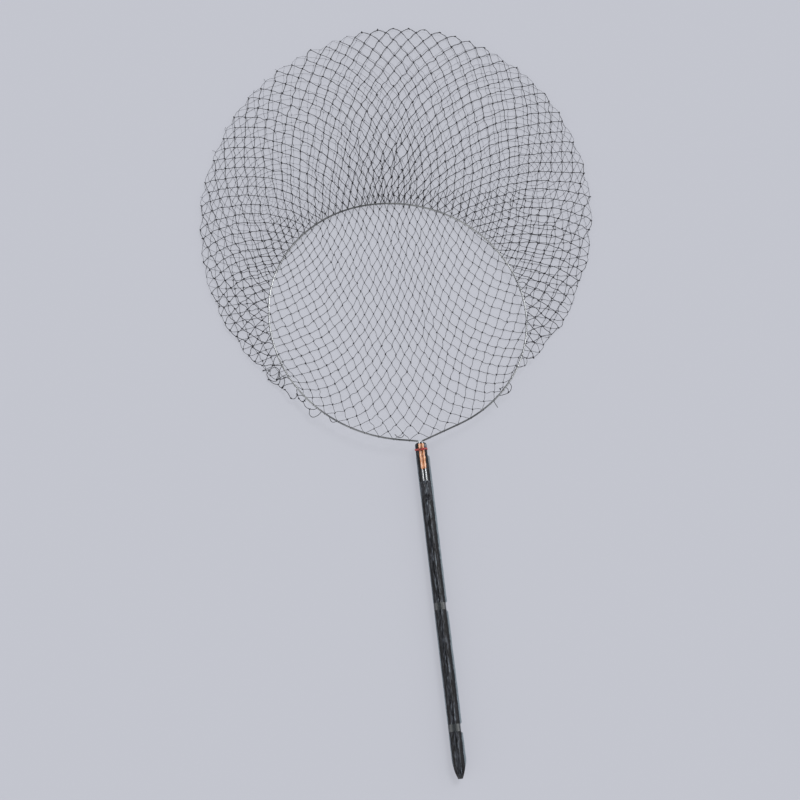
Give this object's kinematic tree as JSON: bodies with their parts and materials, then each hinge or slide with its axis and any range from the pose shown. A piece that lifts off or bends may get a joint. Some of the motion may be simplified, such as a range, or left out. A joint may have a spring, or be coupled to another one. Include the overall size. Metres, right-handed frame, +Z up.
{
  "type": "long-handled hand net",
  "caption": "Long-handled hand net laid flat: round wire hoop with a knotted twine bag, its tangs strapped to a film-wrapped pole.",
  "frame": {"origin": "on the floor, under the middle of the whole object's box", "axes": "+Y runs along the pole from its tip to the far edge of the bag, +X is to the right seen from above with the pole's tip nearest, +Z is up"},
  "size_m": [0.96, 1.8736, 0.0368],
  "materials": {
    "tube_metal": "plain drawn tube",
    "plug_plastic": "moulded black",
    "black_film": "glossy wrinkled film",
    "clear_tape": "clear tape over black film",
    "red_tie": "red binding cord",
    "steel_wire": "bright drawn wire",
    "amber_tape": "amber tape",
    "net_twine": "dark knotted twine"
  },
  "bodies": {
    "pole": {"pole_tube": "tube_metal", "head_plug": "plug_plastic", "tip_plug": "plug_plastic", "film_sleeve": "black_film", "upper_tape_band": "clear_tape", "lower_tape_band": "clear_tape", "neck_tie": "red_tie"},
    "hoop": {"hoop_wire": "steel_wire", "amber_sleeve": "amber_tape", "rim_loops": "net_twine", "net_lower_layer": "net_twine", "net_upper_layer": "net_twine"}
  },
  "joints": [
    {"name": "hoop_slide", "type": "slide", "parent": "pole", "child": "hoop", "axis": [0, 1, 0], "range_m": [0, 0.1]}
  ]
}
